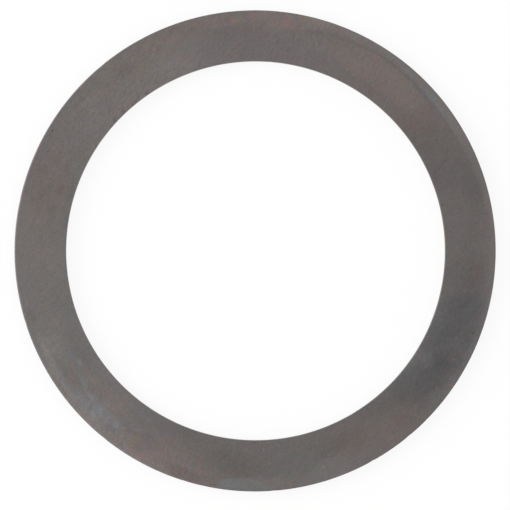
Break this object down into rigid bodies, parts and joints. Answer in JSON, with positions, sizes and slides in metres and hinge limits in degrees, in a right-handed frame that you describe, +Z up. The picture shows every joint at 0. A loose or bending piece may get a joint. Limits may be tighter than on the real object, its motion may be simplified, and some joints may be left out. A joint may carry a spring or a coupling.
{
  "type": "shim ring",
  "caption": "Flat round steel shim ring, a thin washer with a large bore that takes up end play beside a bearing.",
  "frame": {"origin": "centre of the underside, on the axis of the bore", "axes": "+Z up along the axis of the bore, X and Y in the plane of the ring, which is round about Z"},
  "size_m": [0.0448, 0.0448, 0.001],
  "materials": {
    "rolled_steel": "cold rolled strip, dull grey brown with a thin patchy oxide film and a fine straight grain"
  },
  "bodies": {
    "root": {"shim_ring": "rolled_steel"}
  },
  "joints": []
}
